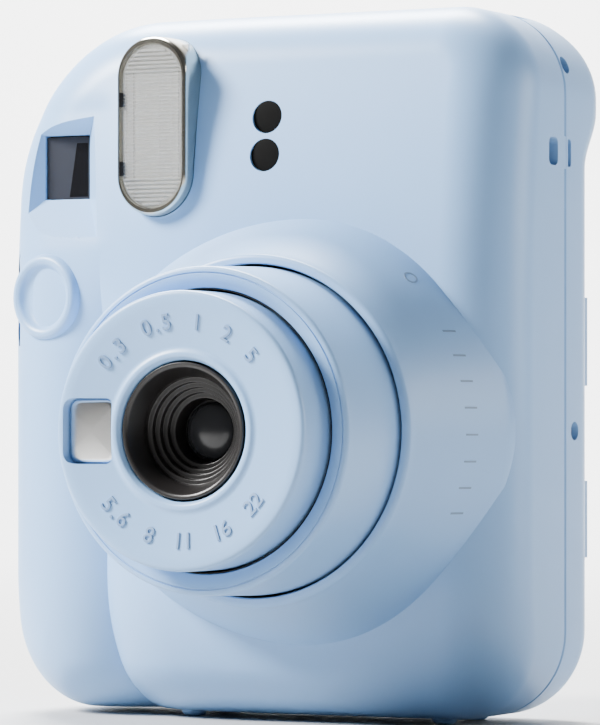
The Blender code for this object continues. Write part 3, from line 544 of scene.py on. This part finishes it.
def rear_shell(spacing, wall=2.0):
    edge = outline(0.0, spacing)
    centre_x, centre_z = 2.0, 62.0

    def half(inset, flip):
        rings = []
        steps = 12
        for k in range(steps + 1):
            turn = math.radians(90 * k / steps)
            ring = []
            for x, z, nx, nz in edge:
                end = EDGE_REAR + (5.5 * max(0.0, nz) if z > 90 else 0.0)
                radius = EDGE_REAR * nx * nx + end * nz * nz - inset
                tall = min(radius, EDGE_REAR - inset + 3.0)
                inward = inset + radius * (1 - math.cos(turn))
                px, pz = x - nx * inward, z - nz * inward
                deep = back_y(pz if k > steps / 2 else z - nz * 6) - inset
                ring.append((px, deep - tall * (1 - math.sin(turn)), pz))
            rings.append(ring)
        last = rings[-1]
        for k in range(1, 40):
            part = 1 - k / 40
            rings.append([(centre_x + (x - centre_x) * part, back_y(centre_z + (z - centre_z) * part) - inset,
                           centre_z + (z - centre_z) * part) for x, y, z in last])
        return rings[::-1] if flip else rings
    seam = [[(x - wall * nx, SEAM_REAR, z - wall * nz) for x, z, nx, nz in edge],
            [(x - 0.3 * nx, SEAM_REAR, z - 0.3 * nz) for x, z, nx, nz in edge],
            [(x, SEAM_REAR + 0.3, z) for x, z, nx, nz in edge]]
    rings = half(wall, True) + seam + half(0.0, False)
    return skin(rings, (centre_x, back_y(centre_z) - wall, centre_z), (centre_x, back_y(centre_z), centre_z))


def copy_of(made, name):
    twin = bpy.data.objects.new(name, made.data.copy())
    bpy.context.scene.collection.objects.link(twin)
    return twin


def knuckles(x, z_spans, side):
    """A door's hinge barrels, each with a web to its panel."""
    shapes = []
    for low, high in z_spans:
        barrel = turned([(0.95, low), (1.35, low), (1.5, low + 0.15), (1.5, high - 0.15), (1.35, high),
                         (0.95, high)], centre=(x, HINGE_Y, 0.0), steps=40, axis="Z")
        web = box(*sorted((x + side * 1.2, x + side * 2.8)), 36.6, 38.4, low, high)
        shapes += [barrel, web]
    return together(*shapes)


def build_rear():
    shell = piece("rear_shell", *rear_shell(1.0), blue, "camera_body", "blue_plastic",
                  ("rear_cover",))
    film, battery = copy_of(shell, "film_door_panel"), copy_of(shell, "battery_door_panel")
    combine(film, prism(rectangle(door_low.x, 45.6, door_low.z, door_high.z, 3.0), "Y", 34, 50), "INTERSECT",
            "MANIFOLD")
    combine(film, together(box(8, 16, 30, 50, 42, 68, 1.2), box(-18.4, -12.4, 30, 50, 71, 87, 1.0)),
            solver="MANIFOLD")
    combine(battery, prism(rectangle(-45.6, -24.6, 8.0, 66.0, 3.0), "Y", 34, 50), "INTERSECT", "MANIFOLD")
    eye = middle("eyepiece")
    counter = middle("counter_window")
    screw = middle("side_screw_right")
    cutters = [prism(rectangle(door_low.x - 0.3, 46.3, door_low.z - 0.3, door_high.z + 0.3, 3.0), "Y", 34, 50),
               prism(rectangle(46.0, 48.9, 15.7, 90.3), "Y", 34, 50),
               prism(rectangle(-46.3, -24.3, 7.7, 66.3, 3.0), "Y", 34, 50),
               prism(rectangle(-48.9, -46.0, 15.7, 62.3), "Y", 34, 50),
               prism(rectangle(24.9, 26.7, 95.8, 100.6, 0.9), "X", 44, 56),
               solid_turned([(0, 44), (1.5, 44), (1.5, 58), (0, 58)], centre=(0, 26.3, 113.4), steps=40,
                            axis="X"),
               prism([(-15.6, 24), (43.0, 24), (43.0, 29), (-15.6, 29)], "Z", 114, 126),
               box(eye.x - 5.6, eye.x + 5.6, 34, 50, eye.z - 5.6, eye.z + 5.6, 1.0),
               box(counter.x - 4, counter.x + 4, 34, 50, counter.z - 3, counter.z + 3, 0.8)]
    for side in (-1, 1):
        cutters.append(solid_turned([(0, side * 48), (1.6, side * 48), (1.6, side * 56), (0, side * 56)],
                                    centre=(0, screw.y, screw.z), steps=40, axis="X"))
    combine(shell, together(*cutters), solver="MANIFOLD")
    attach(film, "film_door_leaf")
    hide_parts("film_door")
    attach(battery, "battery_door_leaf")
    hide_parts("battery_door")
    piece("film_door_knuckles", *knuckles(HINGE_X, ((16, 28), (42, 58), (74, 90)), -1), blue, "film_door_leaf",
          "blue_plastic")
    piece("cover_knuckles_right", *knuckles(HINGE_X, ((28.3, 41.7), (58.3, 73.7)), 1), blue, "camera_body",
          "blue_plastic")
    piece("battery_door_knuckles", *knuckles(-HINGE_X, ((16, 24), (50, 62)), 1), blue, "battery_door_leaf",
          "blue_plastic")
    piece("cover_knuckles_left", *knuckles(-HINGE_X, ((24.3, 49.7),), -1), blue, "camera_body", "blue_plastic")


def build_back_fittings():
    low, high = span("eyepiece")
    rim = rounded([(low.x, low.z, 1.0), (high.x, low.z, 1.0), (high.x, high.z, 1.0), (low.x, high.z, 1.0)])
    eye = middle("eyepiece")

    def shrunk(part, y):
        return [(eye.x + (x - eye.x) * part, y, eye.z + (z - eye.z) * part) for x, z in rim]
    cup = skin([shrunk(1.0, low.y), shrunk(1.0, high.y - 0.6), shrunk(0.95, high.y), shrunk(0.74, high.y),
                shrunk(0.66, high.y - 0.8), shrunk(0.62, 38.4), shrunk(0.3, 38.2)])
    piece("eyepiece_cup", *cup, black, "camera_body", "black_plastic", ("eyepiece",))
    piece("eyepiece_lens", *box(eye.x - 3.3, eye.x + 3.3, 38.5, 39.2, eye.z - 3.3, eye.z + 3.3, 0.5),
          finder_glass, "camera_body", "glass")

    low, high = span("door_latch")
    slide = [box(low.x, high.x, 37.2, 38.6, low.z, high.z, 0.6)]
    slide.append(box(-17.4, -13.4, 38.4, 39.8, 77.6, 84.0, 0.8))
    for k in range(6):
        z = 78.5 + 0.92 * k
        slide.append(box(-17.0, -13.8, 39.6, 40.2, z, z + 0.42, 0.1))
    piece("latch_slide", *together(*slide), blue, "latch", "blue_plastic", ("door_latch",))

    coil = copy_of(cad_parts["latch_spring"], "latch_coil")
    coil.data.materials.clear()
    coil.data.materials.append(steel)
    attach(coil, "film_door_leaf")
    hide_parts("latch_spring")
    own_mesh(coil)

    dial = middle("counter_dial")
    disc = solid_turned([(0, 34.2), (8.2, 34.2), (8.2, 35.2), (8.0, 35.4), (0, 35.4)],
                        centre=(dial.x, 0, dial.z), steps=96)
    piece("counter_disc", *disc, white, "counter", "white_plastic", ("counter_dial",))
    numbers = []
    for k in range(11):
        numbers.append(glyph(str(k), 2.3, (dial.x, 35.38, dial.z), 5.6, math.radians(90 + 30 * k), True))
    piece("counter_numbers", *together(*numbers), matt_black, "counter")

    for name, side in (("side_screw_right", 1), ("side_screw_left", -1)):
        spot = middle(name)
        head = [(0, side * 48.8), (1.3, side * 48.8), (1.3, side * 50.6), (1.1, side * 50.9), (0, side * 51.0)]
        made = piece("cross_head_" + name.split("_")[-1],
                     *solid_turned(head, centre=(0, spot.y, spot.z), steps=40, axis="X"),
                     steel, "camera_body", "steel", (name,))
        bars = []
        for half_y, half_z in ((0.75, 0.16), (0.16, 0.75)):
            bars.append(prism([(spot.y - half_y, spot.z - half_z), (spot.y + half_y, spot.z - half_z),
                               (spot.y + half_y, spot.z + half_z), (spot.y - half_y, spot.z + half_z)],
                              "X", *sorted((side * 50.5, side * 52))))
        for bar in bars:
            combine(made, bar)


def build_feet():
    shapes = []
    for x in (-16.0, 33.0):
        for y in (16.0, 29.0):
            profile = rounded([(0.0, 0.0, 0), (1.9, 0.0, 0.9), (2.4, 1.4, 0.5), (2.4, 3.2, 0), (0.0, 3.2, 0)])
            shapes.append(solid_turned(profile, centre=(x, y, 0.0), steps=48, axis="Z"))
    piece("feet", *together(*shapes), blue, "camera_body", "blue_plastic")
    # A near-black box inside the body behind the strap slots, so the slots read dark: painted shade.
    slot_shade_box = box(46.0, 49.6, 18.0, 28.2, 94.5, 102.0, 0.4)
    piece("strap_slot_painted_shade", *slot_shade_box, slot_painted_shade, "camera_body", "blue_plastic")
    bar = prism(rounded([(23.4, 95.4, 0.5), (25.4, 95.4, 0.5), (25.4, 101.0, 0.5), (23.4, 101.0, 0.5)]), "X",
                49.0, RIGHT - 0.05)
    piece("strap_bar", *bar, blue, "camera_body", "blue_plastic")


# ---------------------------------------------------------------- generic numbers

def glyph(text, size, centre, radius, angle, from_behind=False, lift=0.22):
    """One raised character, upright on a circle of that radius about centre at angle, as a shape."""
    curve = bpy.data.curves.new("glyph", "FONT")
    curve.body = text
    curve.size = size * MM
    curve.extrude = lift * MM / 2
    curve.bevel_depth = 0.04 * MM
    curve.align_x = "CENTER"
    curve.align_y = "CENTER"
    holder = bpy.data.objects.new("glyph", curve)
    bpy.context.scene.collection.objects.link(holder)
    bpy.context.view_layer.update()
    mesh = bpy.data.meshes.new_from_object(holder.evaluated_get(bpy.context.evaluated_depsgraph_get()))
    face_on = Matrix.Rotation(math.radians(90), 4, "X")
    turn = Matrix.Rotation(math.pi / 2 - angle, 4, "Y")
    if from_behind:
        face_on = Matrix.Rotation(math.pi, 4, "Z") @ face_on
    place = Matrix.Translation((centre[0], centre[1], centre[2])) @ turn
    place = place @ Matrix.Translation((0, 0, radius)) @ face_on
    points = [tuple(place @ (vertex.co / MM)) for vertex in mesh.vertices]
    faces = [tuple(face.vertices) for face in mesh.polygons]
    bpy.data.objects.remove(holder, do_unlink=True)
    bpy.data.curves.remove(curve)
    bpy.data.meshes.remove(mesh)
    return points, faces


def dish_y(radius):
    """The depth of the lens's dished face at a radius."""
    return FACE_Y + 0.05 + 1.10 * (21.0 - radius) / 7.6


def arc_of_numbers(words, radius, first, last, upright):
    """Numbers raised on the lens's dished face, the right way up at the top or at the bottom."""
    shapes = []
    text = "  ".join(words)
    for k, letter in enumerate(text):
        if letter == " ":
            continue
        angle = math.radians(first + (last - first) * k / (len(text) - 1))
        if upright:
            points, faces = glyph(letter, 3.7, (0.0, 0.0, 0.0), radius, angle)
        else:
            points, faces = glyph(letter, 3.7, (0.0, 0.0, 0.0), -radius, angle + math.pi)
        shapes.append(([(LENS_X + x, dish_y(math.hypot(x, z)) + y - 0.08, LENS_Z + z) for x, y, z in points],
                       faces))
    return together(*shapes)


# ---------------------------------------------------------------- lens

def build_lens():
    ring = rounded([(25.4, RING_BACK, 0.2), (RING_R, RING_BACK, 0.3), (RING_R, RING_BACK - 6.5, 0.8),
                    (RING_R - 0.45, RING_FRONT + 0.03, 0.7), (26.05, RING_FRONT + 0.02, 0),
                    (25.98, RING_FRONT + 0.25, 0), (25.82, RING_FRONT + 0.25, 0), (25.75, RING_FRONT, 0.05),
                    (RING_R - 2.4, RING_FRONT + 0.15, 0.7), (23.45, RING_FRONT + 1.0, 0.25),
                    (23.3, RING_FRONT + 2.5, 0.1), (25.4, RING_FRONT + 2.5, 0.2)])
    piece("focus_ring_shell", *turned(ring, steps=192), blue, "focus_ring", "blue_plastic", ("lens_ring",))

    # Thin matt black sleeves in the gaps between barrel and ring and between ring and hump: painted shade, so the gaps
    # read dark.
    ring_gap_shading = turned([(23.22, RING_FRONT + 1.2), (23.30, RING_FRONT + 1.2), (23.30, RING_FRONT + 2.5),
                     (23.22, RING_FRONT + 2.5)], steps=128)
    piece("ring_gap_painted_shade", *ring_gap_shading, matt_black, "focus_ring", "black_plastic")
    hump_gap_shading = turned([(HUMP_HOLE - 0.06, HUMP_FRONT + 0.5), (HUMP_HOLE, HUMP_FRONT + 0.5), (HUMP_HOLE, -11.2),
                   (HUMP_HOLE - 0.06, -11.2)], steps=128)
    piece("hump_gap_painted_shade", *hump_gap_shading, matt_black, "camera_body", "black_plastic")

    face = rounded([(20.9, -16.0, 0.2), (BARREL_R, -16.0, 0.3), (BARREL_R, FACE_Y, 0.9),
                    (21.0, FACE_Y + 0.05, 0.6), (13.4, FACE_Y + 1.15, 0.5), (12.7, FACE_Y + 0.75, 0.3), (12.0, FACE_Y + 0.85, 0.25),
                    (11.5, FACE_Y + 1.6, 0.2), (11.3, FACE_Y + 3.8, 0.1), (20.9, FACE_Y + 3.8, 0.3)])
    barrel = piece("barrel_shell", *turned(face, steps=192), blue, "barrel", "blue_plastic", ("lens_barrel",))
    low, high = mirror_low, mirror_high
    pocket = prism(rounded([(low.x - 0.3, low.z - 0.3, 2.2), (high.x + 0.3, low.z - 0.3, 1.2),
                            (high.x + 0.3, high.z + 0.3, 1.2), (low.x - 0.3, high.z + 0.3, 2.2)], 8),
                   "Y", -50, high.y + 0.35)
    combine(barrel, pocket)
    cx, cz = (low.x + high.x) / 2, (low.z + high.z) / 2
    rim = rounded([(low.x + 0.15, low.z + 0.1, 1.7), (high.x - 0.1, low.z + 0.1, 1.1),
                   (high.x - 0.1, high.z - 0.1, 1.1), (low.x + 0.15, high.z - 0.1, 1.7)], 8)
    rings = [[(x, high.y, z) for x, z in rim]]
    corner = math.hypot(high.x - cx, high.z - cz)
    for part in (1.0, 0.985, 0.96, 0.9, 0.8, 0.7, 0.6, 0.5, 0.4, 0.3, 0.2, 0.1):
        edge = 0.10 * min(1.0, (1.0 - part) / 0.04)
        ring = []
        for x, z in rim:
            dx, dz = (x - cx) * part, (z - cz) * part
            sag = 0.20 * (1 - (dx * dx + dz * dz) / corner ** 2)
            ring.append((cx + dx, low.y + 0.3 - edge - sag, cz + dz))
        rings.append(ring)
    piece("convex_mirror", *skin(rings, None, (cx, low.y, cz)), mirror, "barrel", "mirror",
          ("selfie_mirror",))

    steps = [(11.15, FACE_Y + 1.3, 0.2), (10.4, FACE_Y + 1.35, 0.4), (8.8, FACE_Y + 4.6, 0.4)]
    radius, depth = 8.8, FACE_Y + 4.6
    for k in range(4):
        depth += 1.05
        steps.append((radius, depth, 0.18))
        radius -= 0.85
        steps.append((radius, depth, 0.18))
    steps += [(5.3, -35.0, 0.2), (5.0, -32.6, 0), (19.8, -32.6, 0.2), (19.8, -33.6, 0.2), (12.4, -34.4, 0.3),
              (12.4, -39.7, 0.2), (11.15, -39.7, 0.1)]
    piece("stepped_baffle", *turned(rounded(steps, 4), steps=160), black, "barrel", "black_plastic",
          ("lens_baffle",))
    back, front = lens_dome_high.y, lens_dome_low.y
    dome = [(0.0, back), (4.9, back), (4.9, back - 1.2)]
    for k in range(1, 13):
        turn = math.pi / 2 * k / 12
        dome.append((4.9 * math.cos(turn), back - 1.2 - (back - 1.2 - front) * math.sin(turn)))
    piece("front_lens_dome", *solid_turned(dome[:-1] + [(0.0, front)], steps=96), lens_glass, "barrel", "glass",
          ("front_lens",))
    stop = rounded([(2.2, -32.2, 0.1), (5.1, -32.2, 0.1), (5.1, -31.6, 0.1), (2.2, -31.6, 0.1)])
    piece("lens_stop", *turned(stop, steps=64), matt_black, "barrel", "black_plastic")
    # The raised numbers are coloured darker blue than the face they stand on: painted shade for their relief.
    letters = arc_of_numbers(("0.3", "0.5", "1", "2", "5"), 17.7, 141.0, 43.0, True)
    piece("lens_numbers_upper", *letters, mark_shade_blue, "barrel")
    letters = arc_of_numbers(("5.6", "8", "11", "16", "22"), 17.9, 222.0, 322.0, False)
    piece("lens_numbers_lower", *letters, mark_shade_blue, "barrel")


# ---------------------------------------------------------------- flash, windows and button

def build_flash():
    def at(grow, y):
        return [(x, y, z) for x, z in pill(FLASH_W + grow, FLASH_H + grow)]
    inner_w, inner_h = FLASH_W - 0.8, FLASH_H - 1.2

    def inside(shrink, y):
        return [(x, y, z) for x, z in pill(inner_w - shrink, inner_h - shrink)]
    rings = [at(0.12, 9.0), at(0.12, 2.5), at(0.0, FLASH_Y + 1.6), at(-0.10, FLASH_Y + 0.8),
             at(-0.3, FLASH_Y + 0.3), at(-0.55, FLASH_Y + 0.04), inside(0.0, FLASH_Y + 0.1), inside(0.1, FLASH_Y + 0.5),
             inside(0.1, 9.0)]
    rings.append(rings[0])
    points, faces = skin(rings)
    piece("flash_trim", points, faces[:-2], champagne, "camera_body", "silver_trim", ("flash_bezel",))

    wide, tall = inner_w - 0.2, inner_h - 0.2
    plate = [skin([[(x, 0.6, z) for x, z in pill(wide, tall)],
                   [(x, FLASH_Y + 0.75, z) for x, z in pill(wide, tall)],
                   [(x, FLASH_Y + 0.55, z) for x, z in pill(wide - 0.3, tall - 0.3)]])]
    z = -tall + 0.7
    while z < tall - 0.4:
        beyond = max(0.0, abs(z) - (tall - wide))
        half = math.sqrt(max(0.1, (wide - 0.4) ** 2 - beyond ** 2))
        cap = abs(z) > 9.0
        height, rise = (0.24, 0.32) if cap else (0.10, 0.06)
        section = [(FLASH_Y + 0.6, -height), (FLASH_Y + 0.6 - rise, -height * 0.45),
                   (FLASH_Y + 0.6 - rise, height * 0.45), (FLASH_Y + 0.6, height)]
        plate.append(prism([(y, FLASH_Z + z + dz) for y, dz in section], "X", FLASH_X - half, FLASH_X + half))
        z += 0.72 if cap else 0.62
    piece("flash_window", *together(*plate), flash_plastic, "camera_body", "clear_plastic", ("flash_lens",))

    trough = []
    for k in range(17):
        turn = math.pi * k / 16
        trough.append((FLASH_X - 4.6 * math.cos(turn), 1.3 + 4.8 * math.sin(turn)))
    back = [(FLASH_X + (x - FLASH_X) * 1.06, y + 0.35) for x, y in reversed(trough)]
    shapes = [prism(trough + back, "Z", FLASH_Z - 9.2, FLASH_Z + 9.2)]
    for side in (-1, 1):
        z0, z1 = sorted((FLASH_Z + side * 9.2, FLASH_Z + side * 9.6))
        shapes.append(prism([(FLASH_X - 4.8, 0.9), (FLASH_X + 4.8, 0.9), (FLASH_X + 4.8, 6.2),
                             (FLASH_X - 4.8, 6.2)], "Z", z0, z1))
        z0, z1 = sorted((FLASH_Z + side * 9.7, FLASH_Z + side * 14.2))
        shapes.append(prism(rectangle(FLASH_X - 5.6, FLASH_X + 5.6, 1.3, 1.8), "Z", z0, z1))
    for x0, x1 in ((FLASH_X - 6.0, FLASH_X - 4.9), (FLASH_X + 5.1, FLASH_X + 6.0)):
        shapes.append(prism(rectangle(x0, x1, 1.2, 1.7), "Z", FLASH_Z - 12.0, FLASH_Z + 12.0))
    piece("flash_trough", *together(*shapes), reflector_metal, "camera_body", "silver_trim",
          ("flash_reflector",))
    tube = rounded([(0.0, FLASH_Z - 9.0, 0), (1.1, FLASH_Z - 9.0, 0.3), (1.1, FLASH_Z + 9.0, 0.3),
                    (0.0, FLASH_Z + 9.0, 0)])
    piece("flash_glass_tube", *solid_turned(tube, centre=(FLASH_X, 4.0, 0.0), steps=40, axis="Z"),
          clear_plastic, "camera_body", "glass", ("flash_tube",))
    clips = []
    for z in (FLASH_Z + 4.7, FLASH_Z - 7.3):
        x = FLASH_X - FLASH_W + 0.55
        clips.append(box(x, x + 0.75, FLASH_Y + 0.1, FLASH_Y + 1.6, z - 1.25, z + 1.25, 0.15))
    piece("flash_clips", *together(*clips), gloss_black, "camera_body", "black_gloss")
    # Thin matt black bars at the reflector trough's two edges: painted shade in the gaps beside the trough.
    gap_shade_bars = [box(FLASH_X + 4.35, FLASH_X + 4.60, 0.7, 1.2, FLASH_Z - 9.4, FLASH_Z + 9.4)]
    gap_shade_bars.append(box(FLASH_X - 4.60, FLASH_X - 4.42, 0.7, 1.2, FLASH_Z - 9.4, FLASH_Z + 9.4))
    piece("flash_gap_painted_shade", *together(*gap_shade_bars), matt_black, "camera_body", "black_plastic")


def build_windows():
    low, high = finder_low, finder_high
    piece("finder_window", *box(low.x - 0.25, high.x + 0.25, low.y - 0.1, high.y, low.z - 0.25, high.z + 0.25,
                                0.2), finder_glass, "camera_body", "glass", ("viewfinder_window",))
    # A gloss black patch on part of the window's face: painted shade for the dark inside of the viewfinder.
    shade = prism([(low.x + 4.4, low.z + 0.1), (high.x - 0.1, low.z + 0.1), (high.x - 0.1, high.z - 0.9),
                   (low.x + 5.9, high.z - 0.9)], "Y", low.y - 0.16, low.y - 0.11)
    piece("finder_painted_shade", *shade, gloss_black, "camera_body", "black_gloss")
    for node in ("sensor_window_upper", "sensor_window_lower"):
        low, high = span(node)
        x, z = (low.x + high.x) / 2, (low.z + high.z) / 2
        cap = rounded([(0.0, low.y, 0), (2.8, low.y, 0.12), (2.8, high.y, 0), (0.0, high.y, 0)])
        piece(node.replace("window", "glass"), *solid_turned(cap, centre=(x, 0.0, z), steps=72), sensor_black,
              "camera_body", "black_gloss", (node,))


def build_button():
    profile = rounded([(0.0, 0.15, 0), (4.9, 0.1, 1.1), (5.9, -1.25, 0.7), (7.1, -1.35, 0.8), (7.8, 0.1, 0.6),
                       (7.8, 3.4, 0.1), (6.2, 3.4, 0.1), (6.2, 1.5, 0.1), (1.6, 1.5, 0.1), (1.6, 4.6, 0.1),
                       (0.0, 4.6, 0)], 7)
    shape = along_button(solid_turned(profile, centre=(0.0, 0.0, 0.0), steps=128))
    piece("release_button", *shape, blue, "button", "blue_plastic", ("shutter_button",))
    # The well round the button is coloured dark blue as painted shade in the recess.
    well = along_button(turned(rounded([(7.95, 2.4, 0.1), (9.2, 2.4, 0.1), (9.2, 8.0, 0.1), (7.95, 8.0, 0.1)]),
                               centre=(0.0, 0.0, 0.0), steps=96))
    piece("button_well", *well, well_shade_blue, "camera_body", "blue_plastic")


build_rear()
build_back_fittings()
build_feet()
build_lens()
build_flash()
build_windows()
build_button()


def finish_cad(node, material):
    """Give a CAD node that is shown as it is a better finish."""
    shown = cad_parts[node]
    shown.data.materials.clear()
    shown.data.materials.append(material)
    shown.data.set_sharp_from_angle(angle=math.radians(35))


for node, material in {
        "film_chamber": matt_black, "lens_guide_tube": matt_black, "ring_sleeve": black,
        "shutter_housing": matt_black, "shutter_blade": steel, "rear_lens": lens_glass,
        "rear_lens_holder": matt_black, "flash_capacitor": gloss_black, "viewfinder_tube": matt_black,
        "light_sensor": gloss_black, "button_spring": steel, "button_switch": black, "main_board": board,
        "battery_box": black, "battery_spring_front": steel, "battery_spring_rear": steel,
        "battery_contact_plate": steel, "cell_front": wrap, "cell_rear": wrap, "motor": steel,
        "motor_pinion": brass, "idler_gear_lower": white, "idler_gear_upper": white,
        "drive_roller_gear": white, "pressure_roller_gear": white, "drive_roller": rubber,
        "pressure_roller": rubber, "roller_frame": steel, "film_exit_flap": black, "film_door_pin": steel,
        "battery_door_pin": steel, "pack_window": clear_plastic,
        "pack_spring_left": steel, "pack_spring_right": steel, "counter_window": clear_plastic}.items():
    finish_cad(node, material)


# ---------------------------------------------------------------- studio

def build_studio():
    """A pale floor that curves up into a backdrop, soft lights and a pale sky."""
    section = [(-12.0, 0.0), (1.2, 0.0)]
    for k in range(1, 13):
        turn = math.radians(90 * k / 12)
        section.append((1.2 + 0.8 * math.sin(turn), 0.8 * (1 - math.cos(turn))))
    section.append((2.0, 3.5))
    points = [(x, y, z) for x in (-12.0, 12.0) for y, z in section]
    count = len(section)
    faces = [(k, k + 1, count + k + 1, count + k) for k in range(count - 1)]
    mesh = bpy.data.meshes.new("floor")
    mesh.from_pydata(points, [], faces)
    mesh.shade_smooth()
    floor = bpy.data.objects.new("floor", mesh)
    bpy.context.scene.collection.objects.link(floor)
    mesh.materials.append(surface("pale_floor", (0.42, 0.42, 0.42), (0.44, 0.44, 0.44), 0.6, patch=2.0,
                                  grain=300.0, bump=0.02))
    floor.rotation_euler = (0, 0, math.atan2(-VIEW[0], VIEW[1]))

    world = bpy.data.worlds.new("studio")
    world.use_nodes = True
    nodes, links = world.node_tree.nodes, world.node_tree.links
    fill = nodes["Background"]
    fill.inputs["Color"].default_value = (1.0, 1.0, 1.0, 1.0)
    fill.inputs["Strength"].default_value = 0.08
    sky = nodes.new("ShaderNodeBackground")
    sky.inputs["Color"].default_value = (1.0, 1.0, 1.0, 1.0)
    sky.inputs["Strength"].default_value = 0.8
    choice = nodes.new("ShaderNodeMixShader")
    links.new(nodes.new("ShaderNodeLightPath").outputs["Is Camera Ray"], choice.inputs["Fac"])
    links.new(fill.outputs["Background"], choice.inputs[1])
    links.new(sky.outputs["Background"], choice.inputs[2])
    links.new(choice.outputs["Shader"], nodes["World Output"].inputs["Surface"])
    bpy.context.scene.world = world

    aim = Vector((0.0, 0.0, 0.06))
    lights = (("key", (-0.5, -0.32, 0.5), 0.25, 25, (1.0, 0.99, 0.97)),
              ("right", (1.00, 0.45, 0.30), 0.5, 5, (0.97, 0.98, 1.0)),
              ("backdrop", (-0.6, 0.9, 1.5), 1.2, 330, (1.0, 1.0, 1.0)))
    for name, place, size, power, colour in lights:
        data = bpy.data.lights.new(name, "AREA")
        data.shape = "DISK"
        data.size = size
        data.energy = power
        data.color = colour
        lamp = bpy.data.objects.new(name, data)
        bpy.context.scene.collection.objects.link(lamp)
        lamp.location = place
        target = Vector((0.3, 2.0, 0.2)) if name == "backdrop" else aim
        lamp.rotation_euler = (target - Vector(place)).to_track_quat("-Z", "Y").to_euler()


def build_camera():
    data = bpy.data.cameras.new("camera")
    camera = bpy.data.objects.new("camera", data)
    bpy.context.scene.collection.objects.link(camera)
    camera.location = (0.3436, -0.6441, LENS_Z * MM)
    camera.rotation_euler = Vector((*VIEW, 0.0)).to_track_quat("-Z", "Y").to_euler()
    data.sensor_width = 36.0
    data.lens = 210.5
    data.shift_y = 0.0945
    data.clip_start, data.clip_end = 0.05, 20.0
    bpy.context.scene.camera = camera


build_studio()
build_camera()
